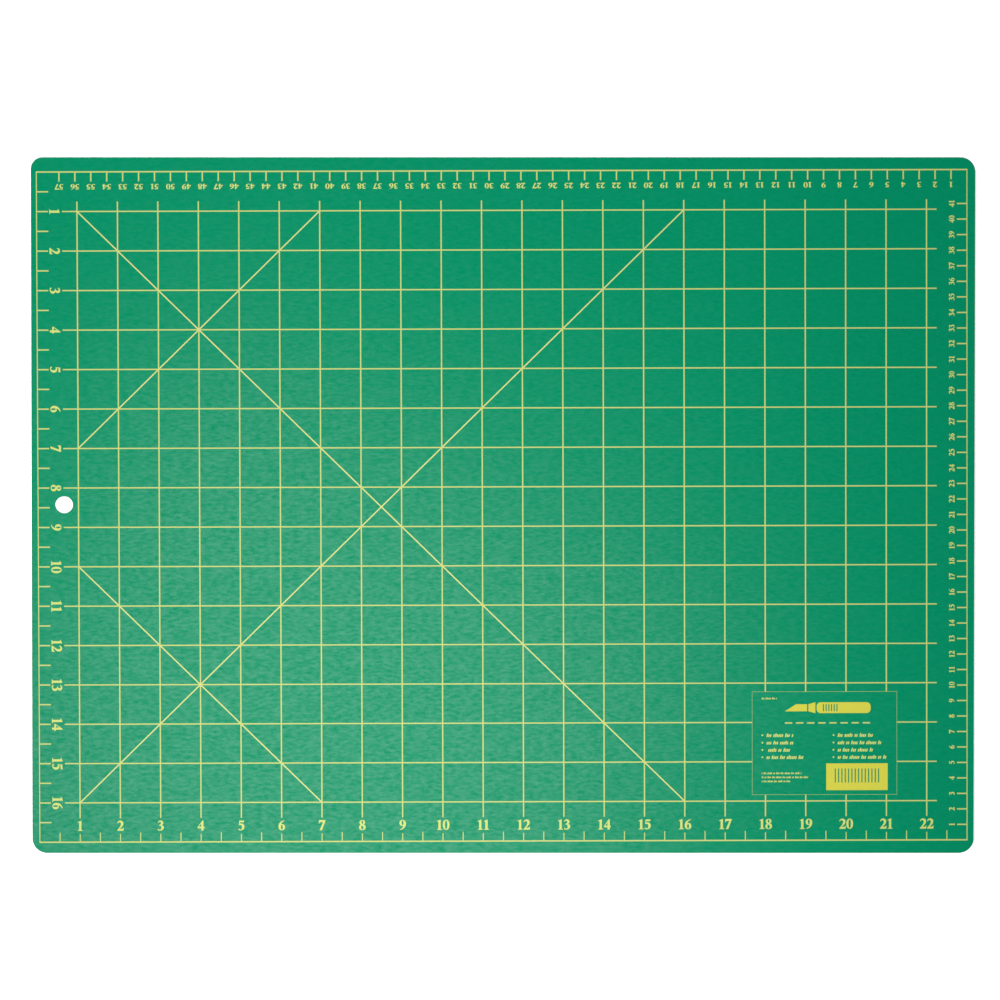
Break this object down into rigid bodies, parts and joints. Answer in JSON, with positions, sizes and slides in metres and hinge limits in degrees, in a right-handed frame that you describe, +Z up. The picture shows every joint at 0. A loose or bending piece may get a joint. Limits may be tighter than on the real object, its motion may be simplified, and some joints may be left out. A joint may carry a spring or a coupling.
{
  "type": "self healing cutting mat",
  "caption": "Flat rectangular self healing cutting mat: laminated plies, printed inch grid, rulers, diagonal guides and an information panel, with a hanging hole.",
  "frame": {"origin": "middle of the underside", "axes": "+X along the long side, away from the hanging hole; +Y to the back edge, which carries the long centimetre ruler; +Z up, out of the printed face"},
  "size_m": [0.593, 0.448, 0.003],
  "materials": {
    "green_healing_pvc": "satin, fine pebble texture",
    "dark_green_inner_pvc": "matte cut edge",
    "pale_rigid_core": "matte cut edge, slightly milky",
    "yellow_ink": "matte screen-printed ink"
  },
  "bodies": {
    "root": {"bottom_healing_skin": "green_healing_pvc", "lower_inner_ply": "dark_green_inner_pvc", "rigid_core": "pale_rigid_core", "upper_inner_ply": "dark_green_inner_pvc", "top_healing_skin": "green_healing_pvc", "border_frame_line": "yellow_ink", "inch_grid_lines": "yellow_ink", "diagonal_guide_lines": "yellow_ink", "front_inch_ticks": "yellow_ink", "left_inch_ticks": "yellow_ink", "back_centimetre_ticks": "yellow_ink", "right_centimetre_ticks": "yellow_ink", "front_inch_numerals": "yellow_ink", "left_inch_numerals": "yellow_ink", "back_centimetre_numerals": "yellow_ink", "right_centimetre_numerals": "yellow_ink", "panel_border_line": "yellow_ink", "panel_knife_pictogram": "yellow_ink", "panel_cut_line": "yellow_ink", "panel_text_rows": "yellow_ink", "panel_bullets": "yellow_ink", "panel_small_rows": "yellow_ink", "panel_slotted_block": "yellow_ink"}
  },
  "joints": []
}
